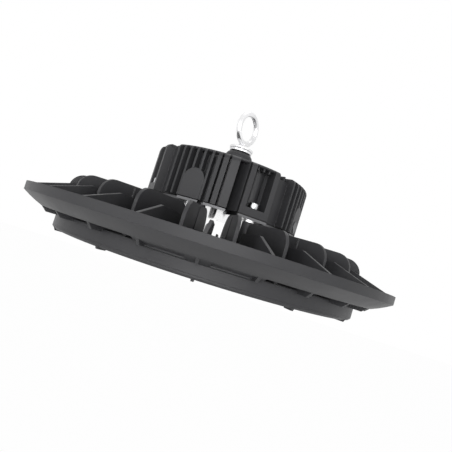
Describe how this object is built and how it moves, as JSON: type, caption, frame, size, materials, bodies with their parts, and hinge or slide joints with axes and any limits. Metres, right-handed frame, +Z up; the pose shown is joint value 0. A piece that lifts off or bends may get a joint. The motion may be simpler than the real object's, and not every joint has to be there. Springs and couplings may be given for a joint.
{
  "type": "high bay light",
  "caption": "Round black high bay ceiling light: dished finned heat sink over a lens, finned driver housing raised on spacers, lifting eye on top.",
  "frame": {"origin": "on the light's axis, in the plane of the bezel's ribs, its lowest faces", "axes": "+Z up along the axis, from the lens to the lifting eye. The side nearest to the camera of the picture faces -Y, and +X is to its right."},
  "size_m": [0.36, 0.36, 0.1718],
  "materials": {
    "painted_casting": "black powder coat on die-cast aluminium",
    "dark_screws": "black oxide",
    "clear_lens": "clear, lightly prismatic",
    "silicone_seal": "dark silicone",
    "lamp_phosphor": "yellow phosphor",
    "white_board": "white solder mask on aluminium",
    "grey_pad": "soft grey heat pad",
    "bright_steel": "bright",
    "chrome_plate": "polished",
    "polished_plate": "polished",
    "green_board": "green solder mask",
    "wound_parts": "ferrite and enamelled wire",
    "capacitor_cans": "sleeved",
    "lead_sleeve": "matte",
    "black_nylon": "moulded nylon",
    "vent_cap": "dull grey metal"
  },
  "bodies": {
    "root": {"bezel_ring": "painted_casting", "bezel_screws": "dark_screws", "lens_plate": "clear_lens", "lens_gasket": "silicone_seal", "lamps": "lamp_phosphor", "lamp_board": "white_board", "thermal_pad": "grey_pad", "board_screws": "bright_steel", "heat_sink": "painted_casting", "spacers": "chrome_plate", "housing_bolts": "bright_steel", "base_plate": "polished_plate", "plate_screws": "dark_screws", "housing_seal": "silicone_seal", "driver_housing": "painted_casting", "driver_board": "green_board", "board_posts": "bright_steel", "transformer": "wound_parts", "choke": "wound_parts", "capacitors": "capacitor_cans", "lamp_lead": "lead_sleeve", "lead_conduit": "chrome_plate", "conduit_seals": "silicone_seal", "gland_body": "black_nylon", "gland_nut": "black_nylon", "gland_seal": "silicone_seal", "breather_vent": "vent_cap", "eye_washer": "bright_steel", "eye_seal": "silicone_seal", "eye_bolt": "chrome_plate"}
  },
  "joints": []
}
